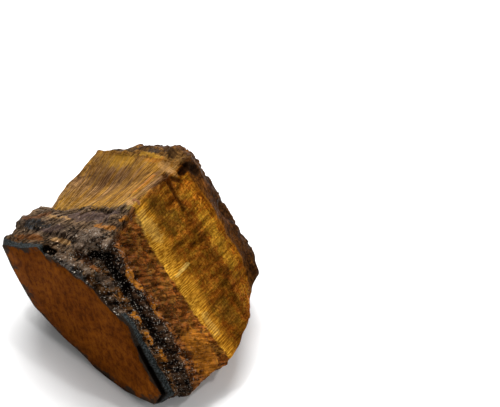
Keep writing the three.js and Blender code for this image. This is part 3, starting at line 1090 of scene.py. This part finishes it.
# %% Stains and painted shade of the marks
MARK_TONE_DARK = (0.6, 0.55, 0.5)
MARK_TONE_LIGHT = (1.25, 1.25, 1.25)

stain_and_shade_share = step_up(mix_values(0.45, mark, front_grain["Blocks"]), 0.34, 0.5)
stain_and_shade_share = times(stain_and_shade_share, step_up(mark, 0.0, 0.2))
stain_and_shade_share = times(stain_and_shade_share, note("stain", "Alpha"))
mark_tone = mix_colours(pattern, MARK_TONE_DARK, MARK_TONE_LIGHT)
# This lays on the stains, and the painted shade of the black and dark marks in hollows.
stain = tint(1.0, note("stain", "Color"), mark_tone)
colour = mix_colours(stain_and_shade_share, colour, stain)
count_nodes()

# %% [markdown]
# Small dark marks go on last: strokes in the silk, pits in the ironstone painted dark as
# shade, rust-red specks in the second gold, and painted shade in the crevice where the
# cheek meets the sawn face. The silk is a little darker low down. Hollows between the
# lumps are darkened as painted shade and partly as iron that stays in them, and the lumps
# come out a little lighter.

# %% Dark marks and hollows
STROKE_AND_PIT_SHADE = (0.022, 0.008, 0.002)
SPECK_RED = (0.09, 0.022, 0.002)
SAW_CREVICE_SHADE = (0.011, 0.006, 0.003)
LOW_SHADE = (0.78, 0.74, 0.7)
HOLLOW_SHADE = (0.3, 0.24, 0.2)
LUMP_LIGHT = (1.12, 1.12, 1.12)

# The pits are painted dark here as shade in them; the strokes are the silk's own dark marks.
strokes = times(silk_threads["Strokes"], mix_values(chipped, 0.45, 0.8))
strokes_and_pit_shade = mix_values(silky, front_grain["Pits"], strokes)
strokes_and_pit_shade = times(strokes_and_pit_shade, mix_values(ochre, 0.75, 0.4))
colour = mix_colours(strokes_and_pit_shade, colour, STROKE_AND_PIT_SHADE)
in_second_gold = step_up(depth, SECOND_GOLD, SECOND_GOLD + 1)
specks = times(times(chipped, in_second_gold), front_grain["Specks"])
colour = mix_colours(times(specks, 0.8), colour, SPECK_RED)
# Painted shade in the crevice where the cheek meets the sawn face.
colour = mix_colours(times(near_saw, 0.8), colour, SAW_CREVICE_SHADE)
colour = tint(times(low_down, silky), colour, LOW_SHADE)
# Painted shade in the hollows, partly also iron stain, and the lumps a little lighter.
shade = mix_colours(step_up(hollow, 0.85, 0.4), HOLLOW_SHADE, LUMP_LIGHT)
colour = tint(mix_values(ochre, 1.0, 0.5), colour, shade)
count_nodes()

# %% [markdown]
# The sawn face is where the depth is nearly nothing. A saw leaves it even, rust brown and
# matt, with a fine mottle and short dark streaks. A broad wash makes it lighter and darker
# from side to side, and the rind lies along parts of its border.

# %% Colour of the sawn face
SAWN_TURN = 0.5
SAWN_DARK = (0.055, 0.012, 0.001)
SAWN_LIGHT = (0.19, 0.05, 0.003)
SAWN_STREAK = (0.03, 0.006, 0.001)
WASH_DARK = (0.82, 0.78, 0.75)
WASH_LIGHT = (1.15, 1.2, 1.4)
RIND_BLACK = (0.02, 0.02, 0.016)

sawn_lie = add_node(
    "ShaderNodeMapping",
    {"Vector": place, "Rotation": (0, SAWN_TURN, 0), "Scale": (1.0, 1, 0.6)},
).outputs[0]
mottle = plain_noise(sawn_lie, scale=0.8, detail=9, roughness=0.75)
sawn_colour = mix_colours(step_up(mottle, 0.32, 0.68), SAWN_DARK, SAWN_LIGHT)
sawn_streaks = plain_noise(sawn_lie, scale=2.4, detail=6, roughness=0.75)
sawn_streaks = times(step_up(sawn_streaks, 0.54, 0.66), 0.45)
sawn_colour = mix_colours(sawn_streaks, sawn_colour, SAWN_STREAK)
wash = plain_noise(place, scale=0.09, detail=3, roughness=0.6)
wash = mix_colours(step_up(wash, 0.4, 0.6), WASH_DARK, WASH_LIGHT)
sawn_colour = tint(1.0, sawn_colour, wash)
rind = plain_noise(place, scale=0.25, detail=6, roughness=0.7)
rind = times(step_up(shifted(note("rind"), rind, 2.4), 0.72, 0.92), 0.85)
sawn_colour = mix_colours(rind, sawn_colour, RIND_BLACK)
colour = mix_colours(sawn, colour, sawn_colour)
count_nodes()

# %% [markdown]
# The finest relief is a bump, because it would take millions of faces as a shape: tilted
# grains in the ironstone, fibre lines or crumbs in the silk, a crackle on the rim and the
# mottle on the sawn face. All of these heights are in millimetres.

# %% Fine bump
iron_height = mix_values(behind, front_grain["Height"], crust_grain["Height"])
iron_height = times(iron_height, mix_values(roof, 0.9, 0.5))
silk_height = times(fibre_lines, 0.07)
silk_height = mix_values(chipped, silk_height, times(crumbled, 0.2))
height = mix_values(silky, iron_height, silk_height)
height = mix_values(rim, height, times(crackle, 0.12))
height = mix_values(sawn, height, times(mottle, 0.1))
bump = add_node("ShaderNodeBump", {"Height": height, "Strength": 1.0, "Distance": MM})
count_nodes()

# %% [markdown]
# Quartz and iron oxide broken this finely scatter most of the light before they can mirror
# anything, so the specular level is next to nothing. The glints come from elsewhere: a few
# small grains of the ironstone are metallic and smooth, which makes each of them a tiny
# mirror, and the threads of the silk are metallic by a fifth at most, for a soft sheen.

# %% Mirrors and sheen
SHEEN = 0.2
MIRROR = 0.6
MIRROR_ROUGHNESS = 0.2
CRUST_MIRRORS = 0.06
OCHRE_MIRRORS = 0.4
SHINY_GLOSS = (0.9, 0.96)
GLASSY_BROWN = (0.2, 0.14, 0.09)
GLASSY_GREY = (0.42, 0.37, 0.31)

sheen = times(times(silky, SHEEN), fibre_lines)
mirrors = opposite(silky)
sawn_or_rim = calculate("ADD", sawn, rim)
mirrors = calculate("SUBTRACT", mirrors, sawn_or_rim, clamp=True)
mirrors = times(mirrors, mix_values(crust, 1.0, CRUST_MIRRORS))
mirrors = times(mirrors, mix_values(ochre, 1.0, OCHRE_MIRRORS))
shiny = step_up(front_grain["Gloss"], *SHINY_GLOSS)
mirrors = times(mirrors, times(shiny, MIRROR))
colour = mix_colours(mirrors, colour, mix_colours(blocky, GLASSY_BROWN, GLASSY_GREY))
count_nodes()

# %% [markdown]
# One Principled shader takes the lot. Grains and threads differ in roughness, and the sawn
# face is the dullest. The little light that the surface mirrors is tinted warm, so that it
# doesn't grey the gold.

# %% Stone surface
SPECULAR = 0.01
WARM = (1.0, 0.7, 0.4)
SAWN_ROUGHNESS = 0.75

iron_roughness = mix_values(front_grain["Gloss"], 0.6, 0.35)
silk_roughness = mix_values(fibre_lines, 0.5, 0.32)
roughness = mix_values(silky, iron_roughness, silk_roughness)
roughness = mix_values(sawn, roughness, SAWN_ROUGHNESS)
roughness = mix_values(mirrors, roughness, MIRROR_ROUGHNESS)
surface = add_node(
    "ShaderNodeBsdfPrincipled",
    {
        "Base Color": colour,
        "Roughness": roughness,
        "Metallic": calculate("ADD", mirrors, sheen),
        "Normal": bump.outputs["Normal"],
        "Specular IOR Level": SPECULAR,
        "Specular Tint": with_alpha(WARM),
    },
)
add_node("ShaderNodeOutputMaterial", {"Surface": surface.outputs[0]})
stone_mesh.materials.append(material)
print("material nodes:", len(tree.nodes))

# %% [markdown]
# A plain pale floor lets the stone speak. It is staging, not a piece of the stone. It is
# wide enough that its edge shows only from near floor height, as a horizon.

# %% Floor
FLOOR_HALF = 1.5
FLOOR_GREY = (0.86, 0.86, 0.86)
FLOOR_ROUGHNESS = 0.8

floor_bmesh = bmesh.new()
bmesh.ops.create_grid(floor_bmesh, x_segments=2, y_segments=2, size=FLOOR_HALF)
floor_mesh = bpy.data.meshes.new("floor")
floor_bmesh.to_mesh(floor_mesh)
floor_bmesh.free()
floor = bpy.data.objects.new("floor", floor_mesh)
bpy.context.scene.collection.objects.link(floor)
floor_material = bpy.data.materials.new("pale_floor")
floor_material.use_nodes = True
floor_shader = floor_material.node_tree.nodes["Principled BSDF"]
floor_shader.inputs["Base Color"].default_value = with_alpha(FLOOR_GREY)
floor_shader.inputs["Roughness"].default_value = FLOOR_ROUGHNESS
floor_mesh.materials.append(floor_material)
print("floor:", 2 * FLOOR_HALF, "m wide")

# %% [markdown]
# The light is soft. The large key light is high behind the left, over the roof, so the
# roof is bright, the cheek is lit at a slant and the sawn face stays in the shade. Two
# small lights make the mirrors glint, a kicker picks out the right edge, and a weak white
# sky keeps the shade open.

# %% Light
SKY_WHITE = (1, 1, 1)
SKY_STRENGTH = 0.3


def soft_light(name, place, width, power):
    data = bpy.data.lights.new(name, "AREA")
    data.size = width
    data.energy = power
    light = bpy.data.objects.new(name, data)
    light.location = place
    light.rotation_euler = Vector(place).to_track_quat("Z", "Y").to_euler()
    bpy.context.scene.collection.objects.link(light)


soft_light("key", place=(-0.35, 0.35, 0.8), width=0.6, power=14)
soft_light("glint_left", place=(-0.25, 0.0, 0.9), width=0.05, power=1.5)
soft_light("glint_right", place=(0.35, 0.2, 0.85), width=0.05, power=1.5)
soft_light("kicker", place=(0.75, 0.45, 0.4), width=0.2, power=2)

world = bpy.data.worlds.new("studio")
world.use_nodes = True
sky = world.node_tree.nodes["Background"]
sky.inputs["Color"].default_value = with_alpha(SKY_WHITE)
sky.inputs["Strength"].default_value = SKY_STRENGTH
bpy.context.scene.world = world
bpy.context.scene.view_settings.view_transform = "Standard"
print("lights:", [item.name for item in bpy.data.lights])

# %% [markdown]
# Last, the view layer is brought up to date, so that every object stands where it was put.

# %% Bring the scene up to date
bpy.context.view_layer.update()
